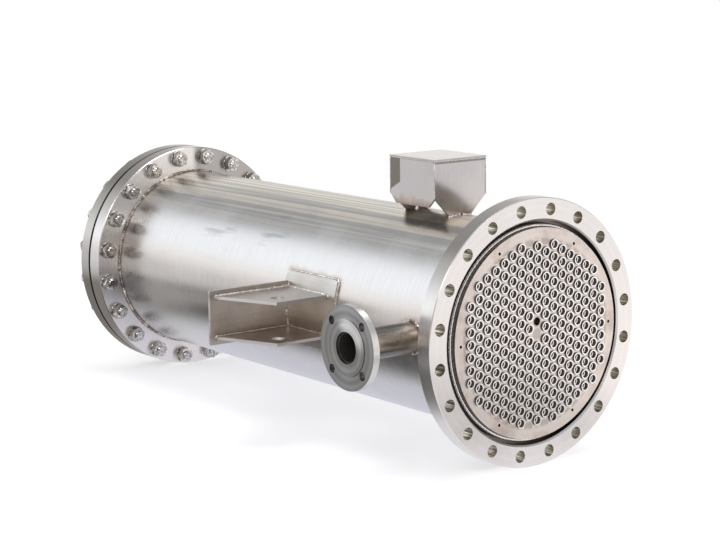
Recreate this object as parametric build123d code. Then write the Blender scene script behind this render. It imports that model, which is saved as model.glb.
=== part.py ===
from build123d import *
import math
import os

os.makedirs("parts", exist_ok=True)

# Shell and tube heat exchanger, in millimetres.
# X runs along the shell axis towards the open tube end, Y to the far side and Z up.
# Every piece is built about the shell axis, with X = 0 on the front flange's face. On export all
# of them shift together, so that the origin lies on the underside of the near lug's lower plate.

# Seats and clearances
slip_clearance = 0.25
seat_clearance = 0.2
tube_clearance = 0.1

# Shell
shell_od = 406.4
shell_wall = 9.5
front_to_rear_flange = 1205.0
shell_r = shell_od / 2
shell_inner_r = shell_r - shell_wall

# Body flanges, measured outwards from the shell
flange_past_shell = 56.8
flange_edge_break = 1.5
front_flange_thickness = 36.0
rear_flange_thickness = 40.0
rear_cover_thickness = 37.0
bolt_count = 20
bolts_past_shell = 34.8
bolt_hole = 24.0
gasket_thickness = 3.0
gasket_past_shell = 20.8
rear_shell_setback = 6.0
flange_weld_leg = 5.0
flange_r = shell_r + flange_past_shell
bolt_circle = shell_od + 2 * bolts_past_shell
gasket_r = shell_r + gasket_past_shell

# Front tubesheet, seated in a recess of the front flange
recess_past_shell = 13.2
recess_depth = 24.0
recess_gap = 6.2
recess_edge_break = 3.3
tubesheet_ledge_width = 6.8
tubesheet_ledge_drop = 7.0
tubesheet_face_rise = 4.0
jack_hole = 6.0
jack_hole_depth = 14.0
jack_hole_from_edge = 14.7
jack_hole_count = 6
eye_hole = 16.0
eye_hole_depth = 20.0
recess_r = shell_r + recess_past_shell
tubesheet_r = recess_r - recess_gap
tubesheet_face_r = tubesheet_r - tubesheet_ledge_width
jack_hole_circle = 2 * (tubesheet_face_r - jack_hole_from_edge)

# Tubes on a triangular pitch, in upright columns
tube_od = 19.05
tube_wall = 2.11
tube_pitch = 24.0
tube_projection = 3.5
tube_field_margin = 12.2
tube_field_cap_margin = 11.5
column_step = tube_pitch * math.sqrt(3) / 2
tube_field_radius = shell_inner_r - tube_field_margin
tube_field_half_height = tube_field_radius - tube_field_cap_margin
side_columns = int(tube_field_radius / column_step)

# Rear tubesheet, fixed inside the shell
rear_tubesheet_thickness = 30.0
rear_chamber_depth = 30.0

# Side nozzles: slip-on flanges on short pipes
nozzle_pipe_od = 60.3
nozzle_pipe_wall = 2.77
nozzle_past_shell = 152.8
nozzle_from_front = 125.0
nozzle_from_rear = 89.0
nozzle_flange_od = 162.0
nozzle_flange_thickness = 14.0
nozzle_raised_face_od = 108.0
nozzle_raised_face_height = 2.0
nozzle_bolt_count = 4
nozzle_bolt_circle = 130.0
nozzle_bolt_hole = 17.0
nozzle_bore_clearance = 0.5
nozzle_pipe_setback = 5.0
nozzle_reach = shell_r + nozzle_past_shell

# Side lugs: a curved pad, a base plate across the axis and two flat plates with a bolt hole
pad_thickness = 5.0
pad_corner = 12.0
pad_front_margin = 23.0
pad_rear_margin = 12.4
pad_past_base = 20.0
lug_plate = 6.0
lug_front_at = -387.0
lug_depth = 136.6
lug_outer_height = 88.0
lug_base_past_plates = 11.0
lug_hole_past_shell = 94.3
lug_tip_past_hole = 29.5
lug_root_past_tip = 55.5
lug_base_past_root = 11.5
lug_hole = 28.0
lug_hole_from_front = 40.0
lug_seat_from_hole = 42.0
lug_base_height = lug_outer_height + 2 * lug_base_past_plates
pad_height = lug_base_height + 2 * pad_past_base
pad_length = pad_front_margin + lug_depth + pad_rear_margin
lug_hole_reach = shell_r + lug_hole_past_shell
lug_plate_tip_reach = lug_hole_reach + lug_tip_past_hole
lug_plate_root_reach = lug_plate_tip_reach + lug_root_past_tip
lug_base_reach = lug_plate_root_reach + lug_base_past_root

# Open-bottomed box on top of the shell, measured upwards from the shell's crown
box_front_at = -220.0
box_length = 138.0
box_width = 131.4
box_past_shell = 113.8
box_plate = 4.0
box_cap_overhang = 1.0
box_side_gap = 18.8
box_side_corner_cut = 18.0
box_foot_cut_height = 37.8
box_vent_radius = 5.0
box_top_height = shell_r + box_past_shell
box_side_bottom_height = shell_r + box_side_gap

rear_flange_at = -front_to_rear_flange
rear_joint_at = rear_flange_at - rear_flange_thickness
rear_cover_at = rear_joint_at - gasket_thickness
rear_end_at = rear_cover_at - rear_cover_thickness
tubesheet_seat_at = -recess_depth
tube_front_at = tubesheet_face_rise + tube_projection
rear_tubesheet_at = rear_joint_at + rear_chamber_depth
tube_rear_at = rear_tubesheet_at - tube_projection
near_nozzle_at = -nozzle_from_front
far_nozzle_at = rear_flange_at + nozzle_from_rear
lug_base_at = lug_front_at - lug_depth
lug_hole_at = lug_front_at - lug_hole_from_front
pad_centre_at = lug_front_at + pad_front_margin - pad_length / 2
lug_bottom = -lug_outer_height / 2

# The origin's place on the near lug, as seen from the shell axis
origin_x = lug_hole_at - lug_seat_from_hole
origin_y = -lug_hole_reach
origin_z = lug_bottom


def rod(radius, start, end):
    """Solid cylinder on the shell axis between two X positions."""
    return Location((start, 0, 0), (0, 90, 0)) * Cylinder(
        radius, end - start, align=(Align.CENTER, Align.CENTER, Align.MIN)
    )


def ring(outer_radius, inner_radius, start, end):
    return rod(outer_radius, start, end) - rod(inner_radius, start - 1, end + 1)


def side_rod(radius, at, start, end):
    """Solid cylinder along Y at one X position, between two Y positions."""
    return Location((at, start, 0), (-90, 0, 0)) * Cylinder(
        radius, end - start, align=(Align.CENTER, Align.CENTER, Align.MIN)
    )


def axial_holes(centres, radius, start, end):
    """Cylinders along the shell axis at each (y, z) centre, to be cut away."""
    return [Location((0, y, z)) * rod(radius, start, end) for y, z in centres]


def round_edges(piece, radius, at, size=flange_edge_break):
    """Breaks the sharp edges of one radius that lie at one X position."""
    chosen = [
        edge
        for edge in piece.edges().filter_by(GeomType.CIRCLE)
        if abs(edge.radius - radius) < 0.01 and abs(edge.arc_center.X - at) < 0.01
    ]
    return chamfer(chosen, size)


def bolt_centres():
    """The holes straddle the vertical centre line."""
    step = 2 * math.pi / bolt_count
    angles = [step * (number + 0.5) for number in range(bolt_count)]
    return [
        (bolt_circle / 2 * math.sin(angle), bolt_circle / 2 * math.cos(angle))
        for angle in angles
    ]


def jack_hole_centres():
    step = 2 * math.pi / jack_hole_count
    angles = [step * (number + 0.5) for number in range(jack_hole_count)]
    return [
        (jack_hole_circle / 2 * math.sin(angle), jack_hole_circle / 2 * math.cos(angle))
        for angle in angles
    ]


def column_centres(column):
    """Tube centres (y, z) of one upright column, counted from the middle one.

    Odd columns sit half a pitch higher, which makes the pitch triangular. The middle of the
    sheet stays blank, and the place above it holds the eye bolt's tapped hole.
    """
    y = column * column_step
    offset = tube_pitch / 2 if column % 2 else 0.0
    most = int(tube_field_half_height / tube_pitch) + 1
    centres = []
    for row in range(-most, most + 1):
        z = row * tube_pitch + offset
        if math.hypot(y, z) > tube_field_radius or abs(z) > tube_field_half_height:
            continue
        if column == 0 and row in (0, 1):
            continue
        centres.append((y, z))
    return centres


def tube_columns():
    return range(-side_columns, side_columns + 1)


def all_tube_centres():
    return [centre for column in tube_columns() for centre in column_centres(column)]


def cut_all(piece, cutters):
    """Cuts many tools in one operation."""
    return piece - cutters


def make_shell_barrel():
    barrel = ring(
        shell_r, shell_inner_r, rear_joint_at + rear_shell_setback, tubesheet_seat_at
    )
    hole_radius = nozzle_pipe_od / 2 + slip_clearance
    near_hole = side_rod(hole_radius, near_nozzle_at, -shell_r - 1, 0)
    far_hole = side_rod(hole_radius, far_nozzle_at, 0, shell_r + 1)
    return barrel - near_hole - far_hole


def make_front_flange():
    flange = rod(flange_r, -front_flange_thickness, 0)
    flange = flange - rod(shell_r + slip_clearance, -front_flange_thickness - 1, 1)
    flange = flange - rod(recess_r, tubesheet_seat_at, 1)
    flange = round_edges(flange, flange_r, 0)
    flange = round_edges(flange, flange_r, -front_flange_thickness)
    flange = round_edges(flange, recess_r, 0, recess_edge_break)
    return cut_all(
        flange, axial_holes(bolt_centres(), bolt_hole / 2, -front_flange_thickness - 1, 1)
    )


def make_rear_flange():
    flange = ring(flange_r, shell_r + slip_clearance, rear_joint_at, rear_flange_at)
    flange = round_edges(flange, flange_r, rear_flange_at)
    flange = round_edges(flange, flange_r, rear_joint_at)
    return cut_all(
        flange,
        axial_holes(bolt_centres(), bolt_hole / 2, rear_joint_at - 1, rear_flange_at + 1),
    )


def make_rear_cover():
    cover = rod(flange_r, rear_end_at, rear_cover_at)
    cover = round_edges(cover, flange_r, rear_end_at)
    cover = round_edges(cover, flange_r, rear_cover_at)
    return cut_all(
        cover,
        axial_holes(bolt_centres(), bolt_hole / 2, rear_end_at - 1, rear_cover_at + 1),
    )


def make_rear_gasket():
    return ring(gasket_r, shell_r + slip_clearance, rear_cover_at, rear_joint_at)


def make_flange_weld(at, direction):
    """Fillet weld between the shell and a flange's inner face; it grows in one X direction."""
    root = shell_r + 2 * seat_clearance
    with BuildPart() as weld:
        with BuildSketch(Plane.XZ):
            with BuildLine():
                Polyline(
                    (at, root),
                    (at + direction * flange_weld_leg, root),
                    (at, root + flange_weld_leg),
                    close=True,
                )
            make_face()
        revolve(axis=Axis.X)
    return weld.part


def make_front_tubesheet():
    sheet = rod(tubesheet_r, tubesheet_seat_at, -tubesheet_ledge_drop)
    sheet = sheet + rod(tubesheet_face_r, -tubesheet_ledge_drop, tubesheet_face_rise)
    jack_holes = axial_holes(
        jack_hole_centres(),
        jack_hole / 2,
        tubesheet_face_rise - jack_hole_depth,
        tubesheet_face_rise + 1,
    )
    eye_bolt_hole = axial_holes(
        [(0, tube_pitch)],
        eye_hole / 2,
        tubesheet_face_rise - eye_hole_depth,
        tubesheet_face_rise + 1,
    )
    tube_holes = axial_holes(
        all_tube_centres(),
        tube_od / 2 + tube_clearance,
        tubesheet_seat_at - 1,
        tubesheet_face_rise + 1,
    )
    return cut_all(sheet, jack_holes + eye_bolt_hole + tube_holes)


def make_rear_tubesheet():
    front_at = rear_tubesheet_at + rear_tubesheet_thickness
    sheet = rod(shell_inner_r - slip_clearance, rear_tubesheet_at, front_at)
    holes = axial_holes(
        all_tube_centres(), tube_od / 2 + tube_clearance, rear_tubesheet_at - 1, front_at + 1
    )
    return cut_all(sheet, holes)


def make_tube_column(column):
    tube = ring(tube_od / 2, tube_od / 2 - tube_wall, tube_rear_at, tube_front_at)
    return Compound([Location((0, y, z)) * tube for y, z in column_centres(column)])


def make_nozzle_pipe(at):
    """Pipe on the near side, from inside the flange to the shell's inner face."""
    pipe_end = -(nozzle_reach - nozzle_pipe_setback)
    pipe_r = nozzle_pipe_od / 2
    pipe = side_rod(pipe_r, at, pipe_end, 0)
    pipe = pipe - side_rod(pipe_r - nozzle_pipe_wall, at, pipe_end - 1, 1)
    return pipe - rod(shell_inner_r, at - nozzle_pipe_od, at + nozzle_pipe_od)


def make_nozzle_flange(at):
    """Slip-on flange with a raised face, on the near side."""
    face = -nozzle_reach
    body_face = face + nozzle_raised_face_height
    body_back = body_face + nozzle_flange_thickness
    flange = side_rod(nozzle_flange_od / 2, at, body_face, body_back)
    flange = flange + side_rod(nozzle_raised_face_od / 2, at, face, body_face)
    bore_r = nozzle_pipe_od / 2 + nozzle_bore_clearance
    holes = [side_rod(bore_r, at, face - 1, body_back + 1)]
    step = 2 * math.pi / nozzle_bolt_count
    for number in range(nozzle_bolt_count):
        angle = step * (number + 0.5)
        x = nozzle_bolt_circle / 2 * math.sin(angle)
        z = nozzle_bolt_circle / 2 * math.cos(angle)
        hole = side_rod(nozzle_bolt_hole / 2, at, face - 1, body_back + 1)
        holes.append(Location((x, 0, z)) * hole)
    return cut_all(flange, holes)


def make_lug_pad():
    """Curved doubler plate with rounded corners, laid on the shell's near side."""
    inner = shell_r + seat_clearance
    outer = inner + pad_thickness
    start = pad_centre_at - pad_length
    end = pad_centre_at + pad_length
    outline = Location((pad_centre_at, 0, 0)) * (
        Plane.XZ * RectangleRounded(pad_length, pad_height, pad_corner)
    )
    block = extrude(outline, outer + 1)
    return block & ring(outer, inner, start, end)


def lug_root_cutter():
    """The space that the shell and its pad take, cleared away from the lug's plates."""
    root = shell_r + 2 * seat_clearance + pad_thickness
    return rod(root, lug_base_at - 2 * lug_depth, lug_front_at + lug_depth)


def make_lug_base_plate():
    plate = Location((lug_base_at - lug_plate / 2, -lug_base_reach / 2, 0)) * Box(
        lug_plate, lug_base_reach, lug_base_height
    )
    return plate - lug_root_cutter()


def make_lug_plate(bottom):
    """Flat plate of the lug with its sloping outer edge and its bolt hole."""
    with BuildPart() as plate:
        with BuildSketch(Plane.XY.offset(bottom)):
            with BuildLine():
                Polyline(
                    (lug_base_at, 0),
                    (lug_base_at, -lug_plate_root_reach),
                    (lug_front_at, -lug_plate_tip_reach),
                    (lug_front_at, 0),
                    close=True,
                )
            make_face()
            with Locations((lug_hole_at, -lug_hole_reach)):
                Circle(lug_hole / 2, mode=Mode.SUBTRACT)
        extrude(amount=lug_plate)
    return plate.part - lug_root_cutter()


def box_x_range():
    return box_front_at - box_length, box_front_at


def make_box_side_plate():
    """Plate on the near side of the box, along the shell, with its lower corners cut off."""
    low, high = box_x_range()
    bottom = box_side_bottom_height
    top = box_top_height - box_plate
    cut = box_side_corner_cut
    with BuildPart() as plate:
        with BuildSketch(Plane.XZ.offset(box_width / 2 - box_plate)):
            with BuildLine():
                Polyline(
                    (low, top),
                    (high, top),
                    (high, bottom + cut),
                    (high - cut, bottom),
                    (low + cut, bottom),
                    (low, bottom + cut),
                    close=True,
                )
            make_face()
        extrude(amount=box_plate)
    return plate.part


def make_box_end_plate(at):
    """Plate across the shell whose cut corners run down to a foot on the shell's crown."""
    half = box_width / 2 - box_plate
    top = box_top_height - box_plate
    cut_top = shell_r + box_foot_cut_height - box_plate
    cut = cut_top - (shell_r - box_plate)
    with BuildPart() as plate:
        with BuildSketch(Plane.YZ.offset(at)):
            with BuildLine():
                Polyline(
                    (-half, top),
                    (half, top),
                    (half, cut_top),
                    (half - cut, cut_top - cut),
                    (-half + cut, cut_top - cut),
                    (-half, cut_top),
                    close=True,
                )
            make_face()
            with Locations((0, shell_r)):
                Circle(box_vent_radius, mode=Mode.SUBTRACT)
        extrude(amount=box_plate)
    return plate.part - rod(shell_r + seat_clearance, at - 1, at + box_plate + 1)


def make_box_cap():
    length = box_length + 2 * box_cap_overhang
    width = box_width + 2 * box_cap_overhang
    centre = (box_front_at - box_length / 2, 0, box_top_height - box_plate / 2)
    return Location(centre) * Box(length, width, box_plate)


def far_side(piece):
    return mirror(piece, about=Plane.XZ)


def make_pieces():
    rear_plate_at = box_front_at - box_length
    front_plate_at = box_front_at - box_plate
    lower_plate = make_lug_plate(lug_bottom)
    upper_plate = make_lug_plate(-lug_bottom - lug_plate)
    near_side_pieces = {
        "lug_pad": make_lug_pad(),
        "lug_base_plate": make_lug_base_plate(),
        "lug_upper_plate": upper_plate,
        "lug_lower_plate": lower_plate,
    }
    pieces = {
        "shell_barrel": make_shell_barrel(),
        "front_flange": make_front_flange(),
        "front_flange_weld": make_flange_weld(-front_flange_thickness, -1),
        "front_tubesheet": make_front_tubesheet(),
        "rear_tubesheet": make_rear_tubesheet(),
        "rear_flange": make_rear_flange(),
        "rear_flange_weld": make_flange_weld(rear_flange_at, 1),
        "rear_gasket": make_rear_gasket(),
        "rear_cover": make_rear_cover(),
        "near_nozzle_pipe": make_nozzle_pipe(near_nozzle_at),
        "near_nozzle_flange": make_nozzle_flange(near_nozzle_at),
        "far_nozzle_pipe": far_side(make_nozzle_pipe(far_nozzle_at)),
        "far_nozzle_flange": far_side(make_nozzle_flange(far_nozzle_at)),
        "box_near_plate": make_box_side_plate(),
        "box_far_plate": far_side(make_box_side_plate()),
        "box_front_plate": make_box_end_plate(front_plate_at),
        "box_rear_plate": make_box_end_plate(rear_plate_at),
        "box_cap": make_box_cap(),
    }
    for name, piece in near_side_pieces.items():
        pieces["near_" + name] = piece
        pieces["far_" + name] = far_side(piece)
    for number, column in enumerate(tube_columns(), start=1):
        pieces["tube_column_%02d" % number] = make_tube_column(column)
    return pieces


def main():
    shift = Location((-origin_x, -origin_y, -origin_z))
    for name, piece in make_pieces().items():
        export_step(shift * piece, "parts/" + name + ".step")


main()
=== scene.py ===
"""Shell and tube heat exchanger: fasteners, weld beads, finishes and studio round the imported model."""

import math
import random

import bmesh
import bpy
from bpy.props import FloatProperty, FloatVectorProperty, IntProperty, PointerProperty
from mathutils import Matrix, Quaternion, Vector


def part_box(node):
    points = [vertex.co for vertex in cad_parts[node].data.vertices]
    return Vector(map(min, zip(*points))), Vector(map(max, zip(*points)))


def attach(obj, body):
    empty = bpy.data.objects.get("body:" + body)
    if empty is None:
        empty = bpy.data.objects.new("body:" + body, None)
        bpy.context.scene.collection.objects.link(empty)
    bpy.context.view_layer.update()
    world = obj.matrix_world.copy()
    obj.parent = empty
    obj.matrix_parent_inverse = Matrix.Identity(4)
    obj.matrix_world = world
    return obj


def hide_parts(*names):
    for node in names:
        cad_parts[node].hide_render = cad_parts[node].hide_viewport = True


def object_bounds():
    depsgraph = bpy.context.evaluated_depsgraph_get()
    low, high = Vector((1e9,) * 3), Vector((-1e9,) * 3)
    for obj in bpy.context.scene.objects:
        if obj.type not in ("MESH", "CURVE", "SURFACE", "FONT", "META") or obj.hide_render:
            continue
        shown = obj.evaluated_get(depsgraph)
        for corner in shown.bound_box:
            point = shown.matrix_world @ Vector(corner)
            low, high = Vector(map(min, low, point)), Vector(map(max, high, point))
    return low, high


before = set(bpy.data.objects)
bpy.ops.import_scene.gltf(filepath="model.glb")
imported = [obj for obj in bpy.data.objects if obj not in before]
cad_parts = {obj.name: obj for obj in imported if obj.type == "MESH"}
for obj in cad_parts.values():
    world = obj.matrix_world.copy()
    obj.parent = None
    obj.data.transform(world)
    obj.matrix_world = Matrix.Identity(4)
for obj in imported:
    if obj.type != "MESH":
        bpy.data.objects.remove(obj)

bl_info = {
    "name": "Shell and tube heat exchanger",
    "version": (1, 0, 0),
    "blender": (4, 5, 0),
    "location": "3D View > Sidebar > Exchanger",
    "description": "Adds studs, nuts, beads, steel finishes and a studio to the packed exchanger",
    "category": "Object",
}

BODY = "root"
TURN = 2 * math.pi
CAD_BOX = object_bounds()

front_low, front_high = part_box("front_flange")
rear_low, rear_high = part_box("rear_flange")
cover_low, cover_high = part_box("rear_cover")
shell_low, shell_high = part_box("shell_barrel")
pad_low, pad_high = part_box("near_lug_pad")
base_low, base_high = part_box("near_lug_base_plate")
upper_low, upper_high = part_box("near_lug_upper_plate")
lower_low, lower_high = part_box("near_lug_lower_plate")
nozzle_low, nozzle_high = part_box("near_nozzle_flange")
pipe_low, pipe_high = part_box("near_nozzle_pipe")
far_nozzle_low, far_nozzle_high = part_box("far_nozzle_flange")
box_near_low, box_near_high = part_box("box_near_plate")
box_front_low, box_front_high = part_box("box_front_plate")
box_rear_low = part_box("box_rear_plate")[0]
cap_low, cap_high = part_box("box_cap")
TUBE_COLUMNS = sorted(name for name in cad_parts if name.startswith("tube_column_"))

AXIS_Y = (front_low.y + front_high.y) / 2
AXIS_Z = (front_low.z + front_high.z) / 2
SHELL_RADIUS = (shell_high.z - shell_low.z) / 2
FLANGE_RADIUS = (front_high.z - front_low.z) / 2
PIPE_RADIUS = (pipe_high.x - pipe_low.x) / 2
NOZZLE_RADIUS = (nozzle_high.z - nozzle_low.z) / 2
NEAR_NOZZLE_X = (nozzle_low.x + nozzle_high.x) / 2
FAR_NOZZLE_X = (far_nozzle_low.x + far_nozzle_high.x) / 2
NOZZLE_BACK = AXIS_Y - nozzle_high.y
PAD_THICKNESS = 0.005
TUBESHEET_FACE_RADIUS = 0.2034
LEDGE_DROP = 0.0070
RECESS_RADIUS = 0.2164
RECESS_FLOOR = 0.0174
TUBE_PITCH = 0.024
COLUMN_STEP = TUBE_PITCH * math.sqrt(3) / 2
TUBE_RADIUS = 0.009525
BORE_RADIUS = 0.007415

SHARP_ANGLE = math.radians(32)
BEAD_SIDES = 8
# Parts of a bead's radius: how far its ripples swell it, how uneven it is, and what its ends have
BEAD_SWELL, BEAD_UNEVENNESS, BEAD_END = 0.16, 0.07, 0.45
LEDGE_STEP, LEDGE_RIPPLE = 0.003, 0.009
PAD_BEAD_OUT, PAD_CORNER, PAD_CORNER_PARTS = 0.0008, 0.012, 6
# Where the middle of a bead lies: off a flange's face and out of the shell beside it, and out of
# the tubesheet's raised face, a pad, a pipe and the shell under the box
FLANGE_BEAD_OFF, FLANGE_BEAD_OUT, LEDGE_BEAD_OUT = 0.0012, 0.0009, 0.0022
PLATE_BEAD_OUT, PIPE_BEAD_OUT, FOOT_BEAD_OUT = 0.0004, 0.0008, 0.0004
PAD_BEAD_SHARE = 0.9
# A lug: how far in from its base plate's edge its beads end, and half the thickness of a plate
LUG_TIP_IN, LUG_HALF_PLATE = 0.0115, 0.003
# The box: how far up its corner beads start, and the points of a foot's bead beside the crown
BOX_BEAD_UP, FOOT_START, FOOT_STEP, FOOT_POINTS = 0.018, 0.007, 0.0018, 14
# A tube's step: how far it is sunk into the wall, and how long its slope and the whole are
STEP_SUNK, STEP_SLOPE, STEP_LENGTH = 0.0002, 0.0010, 0.005
STUD_SIDES, WASHER_SIDES, STEP_SIDES = 20, 32, 16
# A thread's depth, and the part of its pitch that has to be left for one more turn
THREAD_DEPTH, THREAD_ROOM = 0.0013, 0.8
# A stud's chamfer: how far in from the crest it starts, how far back from the end, and its depth
CHAMFER_START_IN, CHAMFER_START_BACK, CHAMFER_END_IN = 0.0006, 0.0013, 0.0021
WASHER_EDGE, WASHER_CLEARANCE = 0.0004, 0.0005
# Slope of a nut's chamfer, and the radius of its flat face as a part of its width
CHAMFER_SLOPE, NUT_FACE = 0.577, 0.475

# Where noise lies for the most part
NOISE_LOW, NOISE_HIGH = 0.3, 0.7

# Soft cards round the studio: direction, angles where the card is full and where it ends, colour
STUDIO_CARDS = (
    ((0.79, -0.60, 0.12), 12, 45, (0.50, 0.47, 0.45)),
    ((-0.785, 0.597, -0.22), 30, 54, (0.90, 0.88, 0.85)),
    ((0.78, 0.60, -0.05), 18, 46, (1.22, 1.17, 1.14)),
    ((-0.785, -0.51, 0.35), 8, 26, (1.40, 1.44, 1.50)),
)
# The floor as the camera sees it: its glow, and where its shadows fade out into white
MIDDLE_X = -0.1
FLOOR_GLOW, FADE_FROM, FADE_TO = 0.49, 0.9, 2.2
# The floor as the steel sees it, a glow of painted light and painted shadow: how much of it the cards
# make up, and its colour away from them
FLOOR_MIRROR, FLOOR_SEEN = 0.88, (0.88, 0.88, 0.92)
# Cards of painted light and painted shadow on the floor, seen only in the steel's reflections: middle,
# half size, width of the faded edge, colour
FLOOR_CARDS = (
    ((1.6, 1.6), (0.6, 0.6), 1.6, (1.32, 1.26, 1.23)),
    ((0.8, -1.6), (0.5, 0.4), 0.6, (1.15, 1.12, 1.10)),
    ((-0.5, -0.95), (0.65, 0.40), 0.50, (0.32, 0.31, 0.30)),
    ((-0.45, -0.46), (0.80, 0.12), 0.16, (0.05, 0.045, 0.04)),
    ((1.05, 0.15), (0.15, 0.10), 0.35, (0.60, 0.58, 0.57)),
    ((-0.08, -0.05), (0.45, 0.10), 0.10, (0.84, 0.84, 0.94)),
    ((-1.12, -0.33), (0.25, 0.16), 0.25, (0.42, 0.40, 0.38)),
)


# Settings that a user may change

def length(name, description, default):
    return FloatProperty(
        name=name, description=description, default=default, subtype="DISTANCE", unit="LENGTH"
    )


def angle(name, description, degrees):
    return FloatProperty(
        name=name, description=description, default=math.radians(degrees), subtype="ANGLE",
        unit="ROTATION",
    )


def colour(name, description, default):
    return FloatVectorProperty(
        name=name, description=description, default=default, subtype="COLOR", min=0, max=1
    )


class ExchangerFasteners(bpy.types.PropertyGroup):
    """Sizes of the studs, nuts and washers that hold the blind rear cover."""

    count: IntProperty(
        name="Studs", description="Number of studs round the rear cover", default=20, min=4
    )
    circle: length("Bolt circle", "Diameter of the circle of studs", 0.476)
    stud: length("Stud", "Outside diameter of a stud's thread", 0.020)
    thread: length("Thread pitch", "Distance from one thread crest to the next", 0.0025)
    flats: length("Across flats", "Width of a hexagon nut across its flats", 0.031)
    nut_height: length("Nut height", "Height of a nut along its stud", 0.015)
    washer: length("Washer", "Outside diameter of a washer", 0.037)
    washer_thickness: length("Washer thickness", "Thickness of a washer", 0.003)
    projection: length("Stud end", "How far a stud stands out of its nut", 0.005)


class ExchangerWelds(bpy.types.PropertyGroup):
    """Sizes of the weld beads."""

    ledge: length("Ledge bead", "Radius of the bead on the tubesheet's ledge", 0.0022)
    flange: length("Flange bead", "Radius of the bead between the shell and a flange", 0.0032)
    plate: length("Plate bead", "Radius of a bead along a lug's plates", 0.0026)
    nozzle: length("Nozzle bead", "Radius of the bead round a nozzle pipe", 0.0032)
    box: length("Box bead", "Radius of the bead along the box's seams", 0.0011)
    ripple: length("Ripple pitch", "Distance from one ripple of a bead to the next", 0.006)


class ExchangerRolls(bpy.types.PropertyGroup):
    """The step inside each tube's end where its rolling stops."""

    depth: length("Depth", "How far the step lies behind a tube's end", 0.0085)
    height: length("Height", "How far the step stands into the bore", 0.0019)


class ExchangerFinishes(bpy.types.PropertyGroup):
    """Base colours of the steel, before brushing, tint and wear."""

    shell: colour("Shell", "Brushed steel of the shell", (0.68, 0.675, 0.67))
    machined: colour("Machined", "Turned steel of the body flanges", (0.80, 0.775, 0.76))
    cover: colour("Cover", "Turned steel of the rear cover", (0.58, 0.56, 0.53))
    tubesheet: colour("Tubesheet", "Drilled steel of the tubesheet", (0.74, 0.68, 0.64))
    tubes: colour("Tubes", "Bright steel of the tubes", (0.97, 0.96, 0.94))
    plates: colour("Plates", "Rolled steel of the lugs and pads", (0.62, 0.60, 0.57))
    box: colour("Box", "Rolled steel of the box", (0.64, 0.605, 0.585))
    nozzle: colour("Nozzle", "Turned steel of the nozzle flanges", (0.46, 0.455, 0.45))
    heat_tint: colour(
        "Heat tint", "Straw brown that welding leaves beside a bead", (0.36, 0.24, 0.15)
    )


class ExchangerStage(bpy.types.PropertyGroup):
    """The studio: floor and camera."""

    floor_size: length("Floor", "Width of the floor", 30.0)
    floor_colour: colour("Floor colour", "Colour of the floor", (0.80, 0.80, 0.82))
    camera_place: FloatVectorProperty(
        name="Camera place", description="Where the camera stands", subtype="TRANSLATION",
        unit="LENGTH", default=(3.1032, -2.1220, 0.7818),
    )
    camera_azimuth: angle(
        "Azimuth", "Direction that the camera looks from, round the object", 52.754
    )
    camera_elevation: angle("Elevation", "Angle that the camera looks down by", 9.753)
    camera_roll: angle("Roll", "Angle that the camera is turned about its line of sight", -0.582)
    camera_lens: FloatProperty(
        name="Lens", description="Focal length of the lens, in millimetres", default=95.76
    )


# Shapes

def new_piece(name, bm, material, replaced=()):
    """Makes a bmesh into a shaded piece that rides on the exchanger."""
    bmesh.ops.recalc_face_normals(bm, faces=bm.faces)
    mesh = bpy.data.meshes.new(name)
    bm.to_mesh(mesh)
    bm.free()
    mesh.shade_smooth()
    mesh.set_sharp_from_angle(angle=SHARP_ANGLE)
    piece = bpy.data.objects.new(name, mesh)
    bpy.context.scene.collection.objects.link(piece)
    mesh.materials.append(bpy.data.materials[material])
    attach(piece, BODY)
    if replaced:
        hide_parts(*replaced)


def along_x(x, y, z, turn=0.0):
    """Places a shape made along Z so that it points along X at one point."""
    return (
        Matrix.Translation((x, y, z))
        @ Matrix.Rotation(math.pi / 2, 4, "Y")
        @ Matrix.Rotation(turn, 4, "Z")
    )


def bolt_places(circle, count):
    """Centres (y, z) round the shell's axis, straddling the vertical centre line."""
    for number in range(count):
        turned = TURN * (number + 0.5) / count
        yield (
            AXIS_Y + circle / 2 * math.sin(turned),
            AXIS_Z + circle / 2 * math.cos(turned),
        )


def ring_edges(ring):
    """The edges that join the vertices of a ring to each other."""
    members = set(ring)
    return list(dict.fromkeys(
        edge for vert in ring for edge in vert.link_edges if edge.other_vert(vert) in members
    ))


def extrude_ring(bm, edges):
    """Extrudes a ring of edges where it is and returns the new vertices."""
    made = bmesh.ops.extrude_edge_only(bm, edges=edges)["geom"]
    return [item for item in made if isinstance(item, bmesh.types.BMVert)]


def raise_ring(bm, edges, height, scale):
    """Extrudes a ring of edges along Z, scales it about Z, and returns its vertices and edges."""
    ring = extrude_ring(bm, edges)
    bmesh.ops.scale(bm, vec=(scale, scale, 1), verts=ring)
    bmesh.ops.translate(bm, vec=(0, 0, height), verts=ring)
    return ring, ring_edges(ring)


def turned_shape(bm, profile, segments, hollow=False):
    """A shape turned about Z from (radius, height) pairs: with flat ends, or closed to a ring."""
    radius, height = profile[0]
    made = bmesh.ops.create_circle(
        bm, cap_ends=not hollow, segments=segments, radius=radius,
        matrix=Matrix.Translation((0, 0, height)),
    )["verts"]
    first = edges = ring_edges(made)
    for new_radius, new_height in profile[1:]:
        ring, edges = raise_ring(bm, edges, new_height - height, new_radius / radius)
        made += ring
        radius, height = new_radius, new_height
    if hollow:
        bmesh.ops.bridge_loops(bm, edges=first + edges)
    else:
        bmesh.ops.edgeloop_fill(bm, edges=edges)
    return made


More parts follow.
